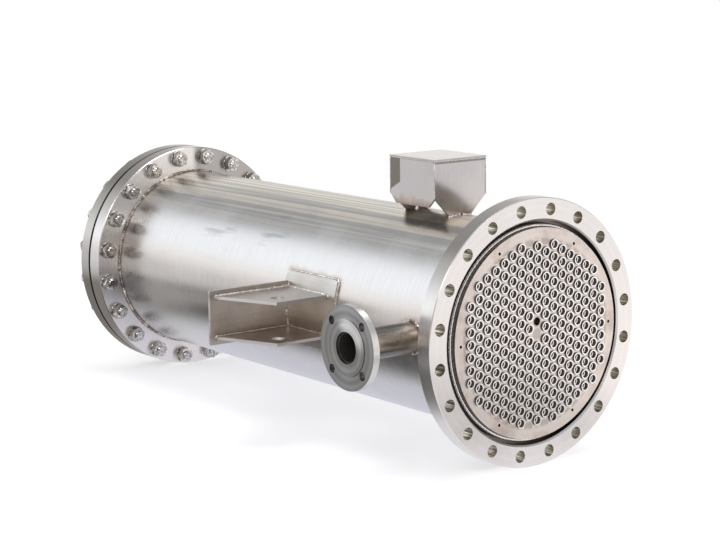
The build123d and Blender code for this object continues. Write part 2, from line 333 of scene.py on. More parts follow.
def hexagon_nut(bm, flats, height, bore):
    """A nut about Z, standing on Z = 0, with its corners chamfered to a circle at both ends. Its
    eye ends halfway into the bore, inside the stud."""
    side = bmesh.ops.create_circle(bm, segments=6, radius=flats / math.sqrt(3))["verts"]
    bmesh.ops.subdivide_edges(bm, edges=ring_edges(side), cuts=3)
    hexagon = list(bm.verts)[-24:]
    edges = ring_edges(hexagon)
    upper, upper_edges = raise_ring(bm, edges, height, 1.0)
    made = hexagon + upper
    eyes = []
    for ring, outline, level, inward in ((hexagon, edges, 0, 1), (upper, upper_edges, height, -1)):
        for vert in ring:
            vert.co.z += inward * (vert.co.xy.length - flats / 2) * CHAMFER_SLOPE
        rim, rim_edges = raise_ring(bm, outline, 0, 1.0)
        for vert in rim:
            place = vert.co.xy.normalized() * flats * NUT_FACE
            vert.co = (place.x, place.y, level)
        eye, eye_edges = raise_ring(bm, rim_edges, 0, bore / (flats * 2 * NUT_FACE))
        made += rim + eye
        eyes += eye_edges
    bmesh.ops.bridge_loops(bm, edges=eyes)
    return made


def thread_profile(settings, reach):
    """Profile of a stud from the middle of its thread to its chamfered end."""
    crest = settings.stud / 2
    profile = []
    height = 0.0
    while height < reach - settings.thread * THREAD_ROOM:
        profile += [(crest - THREAD_DEPTH, height), (crest, height + settings.thread / 2)]
        height += settings.thread
    return profile + [
        (crest - CHAMFER_START_IN, reach - CHAMFER_START_BACK), (crest - CHAMFER_END_IN, reach),
    ]


def frame_along(point, direction, up):
    """Matrix that puts a ring in XY across a path, with one side of it towards up."""
    ahead = direction.normalized()
    side = up.cross(ahead).normalized()
    turn = Matrix((side, ahead.cross(side), ahead)).transposed().to_4x4()
    return Matrix.Translation(point) @ turn


class Welder:
    """Lays rippled weld beads into one piece after another, with dice of its own."""

    def __init__(self, settings, seed):
        self.settings = settings
        self.dice = random.Random(seed)
        self.step = settings.ripple / 3
        self.bm = bmesh.new()

    def lay(self, path, up, radius, closed=False, pitch=None):
        """Lays a bead along a path of points, with one side of it towards up."""
        bm, count = self.bm, len(path)
        pitch = pitch or self.settings.ripple
        travelled = 0.0
        first = edges = last = None
        phase = self.dice.random() * TURN
        for number, point in enumerate(path):
            if closed:
                ahead = path[(number + 1) % count] - path[number - 1]
            else:
                ahead = path[min(number + 1, count - 1)] - path[max(number - 1, 0)]
            if number:
                travelled += (point - path[number - 1]).length
            swell = 1 + BEAD_SWELL * math.sin(TURN * travelled / pitch + phase)
            swell += self.dice.uniform(-BEAD_UNEVENNESS, BEAD_UNEVENNESS)
            if not closed and number in (0, count - 1):
                swell = BEAD_END
            place = frame_along(point, ahead, Vector(up)) @ Matrix.Scale(radius * swell, 4)
            if last is None:
                ring = bmesh.ops.create_circle(
                    bm, segments=BEAD_SIDES, radius=1, matrix=place
                )["verts"]
            else:
                ring = extrude_ring(bm, edges)
                bmesh.ops.transform(bm, matrix=place @ last.inverted(), verts=ring)
            edges = ring_edges(ring)
            first = first or edges
            last = place
        if closed:
            bmesh.ops.bridge_loops(bm, edges=first + edges)
        else:
            bmesh.ops.edgeloop_fill(bm, edges=first)
            bmesh.ops.edgeloop_fill(bm, edges=edges)

    def line(self, start, end, up, radius):
        """Lays a straight bead."""
        self.lay(line_path(start, end, self.step), up, radius)

    def finish(self, name, material, replaced=()):
        """Makes the beads laid so far into a piece, and starts on the next."""
        new_piece(name, self.bm, material, replaced)
        self.bm = bmesh.new()


def line_path(start, end, step):
    """Evenly spaced points from one point to another."""
    start, end = Vector(start), Vector(end)
    count = max(2, round((end - start).length / step))
    return [start.lerp(end, number / count) for number in range(count + 1)]


def round_points(radius, step):
    """Evenly spaced points (across, up) of a circle."""
    count = round(TURN * radius / step)
    for number in range(count):
        turned = TURN * number / count
        yield radius * math.cos(turned), radius * math.sin(turned)


def ring_path(x, radius, step):
    """Points round the shell's axis at one X."""
    return [Vector((x, AXIS_Y + across, AXIS_Z + up)) for across, up in round_points(radius, step)]


def side_at(radius, z, side):
    """Y of a cylinder about the shell's axis at height z, on the near (-1) or far (1) side."""
    rise = z - AXIS_Z
    return AXIS_Y + side * math.sqrt(max(radius * radius - rise * rise, 0))


def saddle_path(x, radius, side, step):
    """Points round a side pipe where it meets the shell."""
    return [
        Vector((x + across, side_at(SHELL_RADIUS, AXIS_Z + up, side), AXIS_Z + up))
        for across, up in round_points(radius, step)
    ]


def pad_outline(side, step):
    """Points round a lug's pad, on the shell."""
    corner, inset = PAD_CORNER, PAD_CORNER - PAD_BEAD_OUT
    low_x, high_x = pad_low.x + inset, pad_high.x - inset
    low_z, high_z = pad_low.z + inset, pad_high.z - inset
    flat = []
    for quarter, (x, z) in enumerate((
        (high_x, high_z), (low_x, high_z), (low_x, low_z), (high_x, low_z),
    )):
        for part in range(PAD_CORNER_PARTS + 1):
            turned = TURN / 4 * (quarter + part / PAD_CORNER_PARTS)
            flat.append(Vector((x + corner * math.cos(turned), 0, z + corner * math.sin(turned))))
    path = []
    for number, point in enumerate(flat):
        path += line_path(point, flat[(number + 1) % len(flat)], step)[:-1]
    reach = SHELL_RADIUS + 0.001
    return [Vector((p.x, side_at(reach, p.z, side), p.z)) for p in path]


# Shader building blocks

class Value:
    """An output of a shader node. Arithmetic with it adds math nodes to the same tree."""

    def __init__(self, socket):
        self.socket = socket

    def __add__(self, other):
        return calculate("ADD", self, other)

    def __sub__(self, other):
        return calculate("SUBTRACT", self, other)

    def __rsub__(self, other):
        return calculate("SUBTRACT", other, self)

    def __mul__(self, other):
        return calculate("MULTIPLY", self, other)

    def __truediv__(self, other):
        return calculate("DIVIDE", self, other)

    def __abs__(self):
        return calculate("ABSOLUTE", self)

    def ramp(self, low, high, new_low=0.0, new_high=1.0, kind="SMOOTHSTEP"):
        """Maps low to new_low and high to new_high, and stays level beyond them."""
        return Value(new_node(
            "ShaderNodeMapRange", self, low, high, new_low, new_high, interpolation_type=kind
        ).outputs[0])

    def spread(self, new_low=0.0, new_high=1.0):
        """Maps the usual reach of noise to another."""
        return self.ramp(NOISE_LOW, NOISE_HIGH, new_low, new_high)


def feed(source, socket):
    """Links a socket to a node's output, or sets it where the source is a plain value."""
    if isinstance(source, Value):
        socket.id_data.links.new(source.socket, socket)
    elif socket.type == "RGBA":
        socket.default_value = (*source[:3], 1.0)
    else:
        socket.default_value = source


def new_node(kind, *values, **options):
    """Adds a node beside those that its values come from, sets its options and feeds its inputs
    in order. None leaves an input as it is."""
    tree = next(value.socket.id_data for value in values if isinstance(value, Value))
    node = tree.nodes.new(kind)
    for option, setting in options.items():
        setattr(node, option, setting)
    for value, socket in zip(values, node.inputs):
        if value is not None:
            feed(value, socket)
    return node


def calculate(operation, *values, clamp=False):
    return Value(
        new_node("ShaderNodeMath", *values, operation=operation, use_clamp=clamp).outputs[0]
    )


def mix(factor, first, second, blend="MIX"):
    """Mixes two colours, or two values."""
    return Value(new_node(
        "ShaderNodeMix", factor, *[None] * 5, first, second, data_type="RGBA", blend_type=blend
    ).outputs[2])


def noise(vector, scale, detail=2.0, roughness=0.5):
    node = new_node("ShaderNodeTexNoise", vector)
    for name, value in (("Scale", scale), ("Detail", detail), ("Roughness", roughness)):
        node.inputs[name].default_value = value
    return Value(node.outputs[0])


def combine(x, y, z):
    return Value(new_node("ShaderNodeCombineXYZ", x, y, z).outputs[0])


def separate(vector):
    return [Value(part) for part in new_node("ShaderNodeSeparateXYZ", vector).outputs]


def centred(vector, x=0.0, y=0.0, z=0.0, turn=0.0):
    """Moves a point to the pattern's origin, and turns the pattern about Z."""
    moved = Value(new_node("ShaderNodeMapping", vector, (-x, -y, -z)).outputs[0])
    if not turn:
        return moved
    return Value(new_node("ShaderNodeMapping", moved, None, (0, 0, turn)).outputs[0])


def colour_ramp(value, stops):
    """A colour for each value, from (place, colour) pairs. The first two lie at 0 and at 1."""
    node = new_node("ShaderNodeValToRGB", value)
    elements = node.color_ramp.elements
    for (place, stop), element in zip(stops, tuple(elements)):
        element.position, element.color = place, (*stop, 1)
    for place, stop in stops[2:]:
        elements.new(place).color = (*stop, 1)
    return Value(node.outputs[0])


def shaded(base, shade):
    """A colour made darker or lighter by a factor."""
    return mix(1.0, base, combine(shade, shade, shade), "MULTIPLY")


def round_axis_group(vector):
    """Coordinates round an axis: along it, round it as arc length, and the distance from it."""
    x, y, z = separate(vector)
    radius = calculate("SQRT", y * y + z * z)
    around = calculate("ARCTAN2", z, y) * radius
    return {"Along": x, "Radius": radius, "Around": around, "Unrolled": combine(x, around, radius)}


def grain_group(across, along, fine, coarse):
    """Parallel grinding lines and broader bands. Fine is the scale across them, Coarse along."""
    across, along = across * fine, along * coarse
    return {
        "Lines": noise(combine(across, along, 0.0), 1.0, 3.0, 0.6),
        "Bands": noise(combine(across * 0.12, along * 0.4, 3.7), 1.0, 3.0),
    }


def rings_group(radius):
    """Turning marks: rings of slightly different height round an axis."""
    return {
        "Rings": noise(combine(radius * 1500.0, 0.0, 0.0), 1.0),
        "Broad": noise(combine(radius * 130.0, 7.0, 0.0), 1.0, 3.0),
    }


def heat_tint_group(vector, distance, reach, straw):
    """Tint beside a weld: a mask that fades with distance, broken up by noise, and its colour."""
    wander = noise(vector, 38.0, 4.0, 0.6).spread(0.6, 1.3)
    near = distance / (wander * reach)
    colours = colour_ramp(near, (
        (0.0, (0.30, 0.27, 0.26)), (1.0, (0.93, 0.82, 0.66)),
        (0.22, (0.42, 0.40, 0.45)), (0.5, (0.62, 0.47, 0.33)),
    ))
    return {"Mask": near.ramp(0.0, 1.0, 1.0, 0.0), "Tint": mix(0.45, colours, straw)}


def patch_group(u, v, middle_u, middle_v, half_u, half_v):
    """Distance from the edge of a rectangle, in the plane of two coordinates."""
    over_u = calculate("MAXIMUM", abs(u - middle_u) - half_u, 0.0)
    over_v = calculate("MAXIMUM", abs(v - middle_v) - half_v, 0.0)
    return {"Distance": calculate("SQRT", over_u * over_u + over_v * over_v)}


def tubes_group(y, z):
    """Distance from the nearest tube's centre line, in the triangular layout."""
    column = calculate("ROUND", y / COLUMN_STEP)
    across = y - column * COLUMN_STEP
    upward = z - calculate("PINGPONG", column, 1.0) * (TUBE_PITCH / 2)
    upward = upward - calculate("ROUND", upward / TUBE_PITCH) * TUBE_PITCH
    return {"Distance": calculate("SQRT", across * across + upward * upward)}


def handling_group(vector):
    """Marks of handling: soft smudges, and a few faint scuffs in one slanting direction."""
    slanted = new_node("ShaderNodeMapping", vector, None, (0, 0, math.radians(-52)), (7, 46, 7))
    lines = noise(Value(slanted.outputs[0]), 1.0)
    places = noise(vector, 5.0, 1.0)
    return {
        "Smudges": noise(vector, 7.0, 5.0, 0.62),
        "Scuffs": lines.ramp(0.54, 0.72) * places.ramp(0.46, 0.64),
    }


# What builds each shared group, and its inputs with their defaults. None is a vector.
GROUPS = {
    "Round axis": (round_axis_group, {"Vector": None}),
    "Grain": (grain_group, {"Across": 0.0, "Along": 0.0, "Fine": 900.0, "Coarse": 12.0}),
    "Turning rings": (rings_group, {"Radius": 0.0}),
    "Heat tint": (heat_tint_group, {
        "Vector": None, "Distance": 0.0, "Reach": 0.03, "Colour": (0.36, 0.24, 0.15, 1),
    }),
    "Patch distance": (patch_group, {
        "U": 0.0, "V": 0.0, "Middle U": 0.0, "Middle V": 0.0, "Half U": 0.1, "Half V": 0.1,
    }),
    "Tube layout": (tubes_group, {"Y": 0.0, "Z": 0.0}),
    "Handling": (handling_group, {"Vector": None}),
}
SOCKETS = {"VALUE": "NodeSocketFloat", "VECTOR": "NodeSocketVector", "RGBA": "NodeSocketColor"}


def new_group(name, build, inputs):
    """Makes a shader node group. build turns its inputs into its outputs by name."""
    tree = bpy.data.node_groups.new(name, "ShaderNodeTree")
    for label, default in inputs.items():
        kind = "VECTOR" if default is None else "RGBA" if isinstance(default, tuple) else "VALUE"
        socket = tree.interface.new_socket(label, in_out="INPUT", socket_type=SOCKETS[kind])
        if default is not None:
            socket.default_value = default
    given = tree.nodes.new("NodeGroupInput").outputs
    made = build(*[Value(given[label]) for label in inputs])
    for label, value in made.items():
        tree.interface.new_socket(
            label, in_out="OUTPUT", socket_type=SOCKETS[value.socket.type]
        )
    results = tree.nodes.new("NodeGroupOutput").inputs
    for label, value in made.items():
        feed(value, results[label])


def shared_groups():
    """Builds each shared group that isn't there yet."""
    for name, (build, inputs) in GROUPS.items():
        if name not in bpy.data.node_groups:
            new_group(name, build, inputs)


def place_group(name, *values):
    """Places a shared group, feeds its inputs in order and gives its outputs by name."""
    node = new_node("ShaderNodeGroup", *values, node_tree=bpy.data.node_groups[name])
    return {output.name: Value(output) for output in node.outputs}


def patch_distance(u, v, middle, half):
    return place_group("Patch distance", u, v, *middle, *half)["Distance"]


def tinted(base, colours, vector, distance, reach, amount):
    """A colour with the tint of a weld that lies at a distance."""
    tint = place_group("Heat tint", vector, distance, reach, colours.heat_tint)
    return mix(tint["Mask"] * amount, base, tint["Tint"])


class Finish:
    """A new metal material, with its shader and the object's own coordinates."""

    def __init__(self, name, metallic=1.0):
        self.material = bpy.data.materials.new(name)
        self.material.use_nodes = True
        self.tree = self.material.node_tree
        self.shader = self.tree.nodes["Principled BSDF"]
        self.shader.inputs["Metallic"].default_value = metallic
        self.spot = Value(self.tree.nodes.new("ShaderNodeTexCoord").outputs["Object"])

    def facing(self, axis):
        """How squarely a surface faces along one axis, from 0 to 1."""
        normal = self.tree.nodes.new("ShaderNodeNewGeometry").outputs["Normal"]
        return abs(separate(Value(normal))["XYZ".index(axis)])

    def turned(self, middle, axis, amount):
        """Spreads highlights across the turning marks, as a lathe's grooves do."""
        parts = separate(middle)
        parts["XYZ".index(axis)] = 0.1
        feed(combine(*parts), self.shader.inputs["Tangent"])
        self.shader.inputs["Anisotropic"].default_value = amount

    def done(self, base, roughness, height=None, relief=0.0):
        """Feeds the shader a colour, a roughness and a bump of so many metres."""
        feed(base, self.shader.inputs["Base Color"])
        feed(roughness, self.shader.inputs["Roughness"])
        if height:
            bump = self.tree.nodes.new("ShaderNodeBump")
            bump.inputs["Strength"].default_value = 1.0
            bump.inputs["Distance"].default_value = relief
            feed(height, bump.inputs["Height"])
            feed(Value(bump.outputs[0]), self.shader.inputs["Normal"])
        return self.material


# Finishes

def shell_finish(colours):
    """Brushed hoops, lines along the crown, a warm band of painted reflection on the side and a tint
    at each weld.
    """
    finish = Finish("shell_brushed_steel")
    x, y, z = separate(finish.spot)
    round_axis = place_group("Round axis", centred(finish.spot, y=AXIS_Y, z=AXIS_Z))
    along, around, unrolled = (round_axis[name] for name in ("Along", "Around", "Unrolled"))
    marks = place_group("Handling", unrolled)
    hoops = place_group("Grain", along, around)
    lines = place_group("Grain", around, along, 950.0, 2.4)
    crown = z.ramp(AXIS_Z + 0.13, AXIS_Z + 0.19)
    brushed = hoops["Lines"] * (1.0 - crown) + lines["Lines"] * crown
    streaked = mix(lines["Bands"].ramp(0.43, 0.58), (0.50, 0.495, 0.48), (0.84, 0.79, 0.70))
    # A painted reflection: a warm beige band along the side, about the height of the axis
    painted_warm_reflection = z.ramp(AXIS_Z - 0.06, AXIS_Z + 0.01) * z.ramp(AXIS_Z + 0.09, AXIS_Z + 0.05)
    base = mix(crown, mix(painted_warm_reflection, colours.shell, (0.69, 0.655, 0.62)), streaked)
    base = shaded(base, brushed.spread(0.93, 1.05) * marks["Smudges"].ramp(0.35, 0.7, 0.94, 1.04))
    pad = patch_distance(
        x, z, ((pad_low.x + pad_high.x) / 2, AXIS_Z),
        ((pad_high.x - pad_low.x) / 2, (pad_high.z - pad_low.z) / 2),
    )
    feet = calculate("MINIMUM", abs(x - box_front_high.x), abs(x - box_rear_low.x))
    box = feet + abs(y - AXIS_Y).ramp(0.030, 0.036) + (1.0 - crown)
    for distance, reach in (
        (abs(x - rear_high.x), 0.016), (abs(x - front_low.x), 0.012), (pad, 0.014), (box, 0.010),
    ):
        base = tinted(base, colours, unrolled, distance, reach, 0.6)
    for nozzle_x, side in ((NEAR_NOZZLE_X, -1), (FAR_NOZZLE_X, 1)):
        beside = patch_distance(x, z, (nozzle_x, AXIS_Z), (0.0, 0.0)) - PIPE_RADIUS
        on_side = ((y - AXIS_Y) * side).ramp(0.0, 0.01)
        beside = calculate("MAXIMUM", beside, 0.0)
        base = tinted(base, colours, unrolled, beside, 0.02, on_side * 0.6)
    upper = z.ramp(AXIS_Z + 0.09, AXIS_Z + 0.13) * z.ramp(AXIS_Z + 0.19, AXIS_Z + 0.17)
    base = mix(marks["Scuffs"] * (upper * 0.42 + 0.08), base, (0.22, 0.22, 0.22))
    return finish.done(base, marks["Smudges"].spread(0.22, 0.31), brushed, 0.000012)


def machined_finish(name, metal, dark_places):
    """Turned steel of a body flange, with painted shade on its rim and a painted dark reflection on
    the rear flange's face. Each of dark_places, a darker band such as painted shade in a recess or
    beside a joint, has an X, how far the dark runs each way from it, the radius where it starts,
    which side of that radius is dark (1 outside, -1 inside) and a colour."""
    finish = Finish(name)
    middle = centred(finish.spot, y=AXIS_Y, z=AXIS_Z)
    middle_y, middle_z = separate(middle)[1:]
    round_axis = place_group("Round axis", middle)
    radius, along = round_axis["Radius"], round_axis["Along"]
    rings = place_group("Turning rings", radius)
    rim = place_group("Turning rings", along)
    face = finish.facing("X").ramp(0.3, 0.8)
    edge = 1.0 - face
    smudges = place_group("Handling", finish.spot)["Smudges"]
    shade = mix(face, rim["Broad"], rings["Broad"]).spread(0.97, 1.02)
    base = shaded(metal, shade * smudges.spread(0.95, 1.03))
    # Painted shade: the rim darker on its upper near side and, towards the rear, on its lower near side
    painted_rim_shade = middle_z.ramp(0.07, 0.15) * middle_y.ramp(0.02, -0.06)
    painted_low_rim_shade = middle_z.ramp(0.03, -0.05) * middle_y.ramp(-0.02, -0.10) * along.ramp(-0.5, -0.6)
    painted_rim_shade = calculate("MAXIMUM", painted_rim_shade, painted_low_rim_shade) * edge
    base = mix(painted_rim_shade * 0.65, base, (0.22, 0.20, 0.17))
    # A painted dark reflection on the upper far part of the rear flange's face
    painted_dark_reflection = middle_z.ramp(0.10, 0.16) * middle_y.ramp(0.0, 0.02)
    painted_dark_reflection = painted_dark_reflection * abs(along - rear_high.x).ramp(0.003, 0.001)
    base = mix(painted_dark_reflection * 0.7, base, (0.26, 0.25, 0.23))
    for x, reach, start, side, dark_colour in dark_places:
        dark = abs(along - x).ramp(reach + 0.0004, reach - 0.0004)
        dark = dark * ((radius - start) * side).ramp(0.0, 0.0005)
        base = mix(dark, base, dark_colour)
    inner, outer = RECESS_RADIUS + 0.0060, FLANGE_RADIUS - 0.0060
    drilled = radius.ramp(inner, inner + 0.001) * radius.ramp(outer, outer - 0.001) * edge
    stripes = noise(combine(0.0, 0.0, separate(finish.spot)[2] * 420.0), 1.0)
    base = mix(drilled, base, mix(stripes.ramp(0.48, 0.62), (0.36, 0.33, 0.27), (0.95, 0.91, 0.82)))
    finish.turned(middle, "X", 0.6)
    grooves = mix(face, rim["Rings"], rings["Rings"])
    return finish.done(base, smudges.spread(0.24, 0.32), grooves, 0.00001)


def tubesheet_finish(colours):
    """Drilled steel: rust towards the edge, painted shade round the tubes, a pale ledge with
    painted shade on its outer half, and dark walls.
    """
    finish = Finish("tubesheet_steel_drilled")
    spot = finish.spot
    middle = centred(spot, y=AXIS_Y, z=AXIS_Z)
    radius = place_group("Round axis", middle)["Radius"]
    rings = place_group("Turning rings", radius)
    smudges = place_group("Handling", spot)["Smudges"]
    edge = radius.ramp(0.160, 0.203)
    base = shaded(colours.tubesheet, rings["Broad"].spread(0.95, 1.03))
    rust = noise(spot, 13.0, 6.0, 0.68).ramp(0.44, 0.66) * (edge + 0.3)
    base = mix(rust * 0.42, base, (0.44, 0.34, 0.28))
    dots = noise(spot, 190.0).ramp(0.70, 0.78) * edge
    base = mix(dots * 0.6, base, (0.22, 0.13, 0.08))
    tube = place_group("Tube layout", *separate(middle)[1:])["Distance"]
    shade = tube.ramp(0.0118, 0.0100) * 0.45 * radius.ramp(0.186, 0.180)
    base = mix(shade, base, (0.26, 0.22, 0.20))
    ledge = radius.ramp(TUBESHEET_FACE_RADIUS + 0.0001, TUBESHEET_FACE_RADIUS + 0.0004)
    base = mix(ledge, base, (1.0, 0.97, 0.94))
    # Painted shade on the outer half of the ledge, beside the flange's recess wall
    outside = radius.ramp(TUBESHEET_FACE_RADIUS + 0.0048, TUBESHEET_FACE_RADIUS + 0.0052)
    base = mix(outside, base, (0.10, 0.09, 0.085))
    wall = 1.0 - finish.facing("X").spread()
    base = mix(wall * 0.9, base, (0.20, 0.17, 0.155))
    finish.turned(middle, "X", 0.4)
    roughness = smudges.spread(0.30, 0.44) + ledge * 0.45
    return finish.done(base, roughness, rings["Rings"], 0.00001)


def tube_finish(colours):
    """Bright cut ends; painted shade on the outer walls, and rolling oil with painted shade in the
    bores.
    """
    finish = Finish("bright_tube_steel")
    x, y, z = separate(finish.spot)
    streaks = noise(combine(x * 0.05, y, z), 900.0)
    streaked = streaks.ramp(0.35, 0.65)
    end = finish.facing("X").ramp(0.4, 0.8)
    middle = centred(finish.spot, y=AXIS_Y, z=AXIS_Z)
    distance = place_group("Tube layout", *separate(middle)[1:])["Distance"]
    inside = distance.ramp(BORE_RADIUS + 0.0010, BORE_RADIUS + 0.0004)
    # Painted shade on the outer walls, between the tubes; the bores are browned by rolling oil and
    # painted shade
    painted_shade_outer_wall = mix(streaked, (0.07, 0.06, 0.055), (0.15, 0.13, 0.12))
    bore_wall = mix(streaked, (0.40, 0.34, 0.31), (0.26, 0.22, 0.20))
    base = shaded(colours.tubes, streaks.spread(0.95, 1.04))
    base = mix(end, mix(inside, painted_shade_outer_wall, bore_wall), base)
    rougher = calculate("SUBTRACT", inside, end, clamp=True) * 0.45
    return finish.done(base, streaks.spread(0.20, 0.32) + rougher)


def plate_finish(colours):
    """Rolled plate of the lugs: brown tint inside, brighter ground edges."""
    finish = Finish("lug_plate_steel")
    spot = finish.spot
    x, y, z = separate(spot)
    smudges = place_group("Handling", spot)["Smudges"]
    grain = place_group("Grain", z, x, 700.0, 14.0)["Lines"]
    cloud = noise(spot, 16.0, 5.0, 0.6).spread()
    inside = z.ramp(AXIS_Z + 0.040, AXIS_Z + 0.034)
    inside = inside * z.ramp(lower_low.z - 0.001, lower_low.z + 0.004)
    base = mix(cloud, colours.plates, (0.56, 0.53, 0.49))
    base = mix(inside * 0.85, base, mix(cloud, (0.72, 0.66, 0.61), (0.58, 0.52, 0.46)))
    flat = calculate("MAXIMUM", finish.facing("Z"), finish.facing("X"))
    cut = flat.ramp(0.9, 0.6) * y.ramp(pad_low.y, pad_low.y - 0.01)
    base = mix(cut * 0.8, base, (0.86, 0.84, 0.82))
    base = shaded(base, grain.spread(0.94, 1.05))
    for height in (upper_high.z, lower_high.z):
        distance = abs(z - height) + abs(x - base_high.x)
        base = tinted(base, colours, spot, distance, 0.02, 0.7)
    return finish.done(base, smudges.spread(0.26, 0.4), grain, 0.000015)


def box_finish(colours):
    """Rolled plate of the box: painted shade under the cap, a painted dark reflection on one strip
    of the near plate, pale inside, a brown tint at its feet, and a mottled cap with a darker rim."""
    finish = Finish("box_plate_steel")
    spot = finish.spot
    x, y, z = separate(spot)
    marks = place_group("Handling", spot)
    grain = place_group("Grain", x + y, z, 600.0, 10.0)["Lines"]
    base = shaded(colours.box, grain.spread(0.96, 1.03) * marks["Smudges"].spread(0.95, 1.04))
    lid = z.ramp(cap_low.z - 0.0001, cap_low.z + 0.0003)
    mottle = noise(spot, 55.0, 5.0, 0.65).ramp(0.35, 0.65)
    base = mix(lid, base, mix(mottle, (0.83, 0.79, 0.76), (0.74, 0.70, 0.67)))
    rim = calculate(
        "MINIMUM", calculate("MINIMUM", x - cap_low.x, cap_high.x - x),
        calculate("MINIMUM", y - cap_low.y, cap_high.y - y),
    )
    base = mix(rim.ramp(0.0035, 0.0025) * lid * 0.8, base, (0.46, 0.44, 0.42))
    # Painted shade on the front plate, just under the cap's edge
    under = z.ramp(cap_low.z - 0.0055, cap_low.z - 0.0045)
    under = under * x.ramp(box_front_low.x, box_front_low.x + 0.001)
    under = under * calculate("SUBTRACT", 0.8, lid, clamp=True)
    base = mix(under, base, (0.22, 0.20, 0.18))
    # A painted dark reflection: a slanting band on the left of the near plate
    along = x - box_near_low.x
    slanted = along * -0.55 + z
    strip = along.ramp(0.0315, 0.0305)
    strip = strip * slanted.ramp(box_near_low.z + 0.024, box_near_low.z + 0.028)
    strip = strip * y.ramp(box_near_high.y, box_near_low.y + 0.001)
    strip = strip * calculate("SUBTRACT", 0.9, lid, clamp=True)
    base = mix(strip, base, (0.19, 0.165, 0.135))
    half_y, half_x = AXIS_Y - box_near_low.y, (box_near_high.x - box_near_low.x) / 2
    beside = abs(y - AXIS_Y)
    lengthwise = abs(x - (box_near_low.x + half_x))
    within = beside.ramp(half_y - 0.0034, half_y - 0.0038)
    within = within * lengthwise.ramp(half_x - 0.0034, half_x - 0.0038)
    within = calculate("SUBTRACT", within, lid, clamp=True)
    base = mix(within, base, (0.93, 0.92, 0.91))
    lift = beside.ramp(half_y - 0.005, half_y - 0.003) * 0.0186
    foot = calculate("MAXIMUM", z - (AXIS_Z + SHELL_RADIUS) - lift, 0.0)
    base = tinted(base, colours, spot, foot, 0.024, 0.95)
    base = mix(marks["Scuffs"] * 0.15, base, (0.3, 0.28, 0.27))
    roughness = marks["Smudges"].spread(0.13, 0.19) + within * 0.55
    return finish.done(base, roughness, grain, 0.000006)


def nozzle_finish(name, nozzle_x, colours):
    """Turned face of a side flange, with a painted highlight on the upper right of its raised face,
    a painted highlight on its outer rim and painted shade in its holes; the rings run round the
    nozzle's own axis.
    """
    finish = Finish(name)
    smudges = place_group("Handling", finish.spot)["Smudges"]
    own = centred(finish.spot, x=nozzle_x, z=AXIS_Z, turn=math.pi / 2)
    radius = place_group("Round axis", own)["Radius"]
    rings = place_group("Turning rings", radius)
    shade = rings["Broad"].ramp(0.35, 0.65, 0.80, 1.18) * smudges.spread(0.94, 1.04)
    middle = centred(finish.spot, x=nozzle_x, z=AXIS_Z)
    across, up = separate(middle)[::2]
    # A painted highlight: a sheen on the upper right of the raised face
    away = abs(calculate("ARCTAN2", up, across) - math.radians(60))
    painted_sheen = away.ramp(1.25, 0.5) * radius.ramp(0.056, 0.053)
    metal = mix(painted_sheen, colours.nozzle, (1.0, 0.99, 0.97))
    wall = 1.0 - finish.facing("Y").spread()
    outside = radius.ramp(NOZZLE_RADIUS - 0.004, NOZZLE_RADIUS - 0.003)
    # A painted highlight on the outer rim, and painted shade on the walls of the bore and the bolt holes
    metal = mix(wall * outside, metal, (0.82, 0.81, 0.80))
    metal = mix(wall * (1.0 - outside), metal, (0.13, 0.125, 0.12))
    finish.turned(middle, "Y", 0.8)
    return finish.done(
        shaded(metal, shade), rings["Rings"].spread(0.3, 0.38), rings["Rings"], 0.000012
    )


def pipe_finish(name, nozzle_x, side, colours):
    """Short side pipe: a pale streaky band of painted light on its flanks with painted shade above
    and below it, a tint from both of its welds and painted shade in its bore."""
    finish = Finish(name)
    own = centred(finish.spot, x=nozzle_x, z=AXIS_Z, turn=math.pi / 2)
    round_axis = place_group("Round axis", own)
    smudges = place_group("Handling", finish.spot)["Smudges"]
    y, z = separate(finish.spot)[1:]
    streak = noise(combine(0.0, y * 2.0, z), 260.0, 3.0)
    # Painted light and shade by height: a pale band on the flanks, dark above and below it
    level = streak * 0.008 + (z - AXIS_Z)
    pale = level.ramp(PIPE_RADIUS * 0.95, PIPE_RADIUS * 0.55) * level.ramp(PIPE_RADIUS * -0.3, 0.0)
    base = mix(pale, (0.17, 0.16, 0.145), (0.97, 0.89, 0.81))
    for weld in (SHELL_RADIUS, NOZZLE_BACK):
        distance = abs((y - AXIS_Y) * side - weld)
        base = tinted(base, colours, round_axis["Unrolled"], distance, 0.035, 0.6)
    # Painted shade in the bore
    inside = round_axis["Radius"].ramp(PIPE_RADIUS - 0.0004, PIPE_RADIUS - 0.0010)
    base = mix(inside, base, (0.15, 0.145, 0.13))
    return finish.done(base, smudges.spread(0.2, 0.32) + inside * 0.35)


def bead_finish(name, clean, burnt, amount):
    """Weld metal: bright ripples with burnt patches between them."""
    finish = Finish(name)
    patches = noise(finish.spot, 90.0, 4.0, 0.6)
    base = mix(patches.ramp(0.36, 0.62) * amount, clean, burnt)
    return finish.done(base, patches.spread(0.16, 0.34), noise(finish.spot, 420.0), 0.0004)


def fastener_finish():
    """Bright cold-formed steel of the nuts, studs and washers."""
    finish = Finish("fastener_steel")
    patches = noise(finish.spot, 160.0, 4.0, 0.6)
    base = mix(patches.ramp(0.35, 0.65), (0.70, 0.68, 0.66), (0.30, 0.28, 0.26))
    return finish.done(base, patches.spread(0.08, 0.16), patches, 0.00006)


def gasket_finish():
    """Dark sheet gasket, seen as a black line between the flange and the cover."""
    finish = Finish("gasket_sheet", metallic=0.0)
    fibres = noise(finish.spot, 700.0, 3.0)
    base = mix(fibres.spread(), (0.020, 0.021, 0.023), (0.045, 0.046, 0.05))
    return finish.done(base, fibres.spread(0.75, 0.95), fibres, 0.0002)


def give_finish(material, *names):
    for name in names:
        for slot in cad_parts[name].material_slots:
            slot.material = material


# Operators

def mix_shaders(factor, first, second):
    return Value(new_node("ShaderNodeMixShader", factor, first, second).outputs[0])


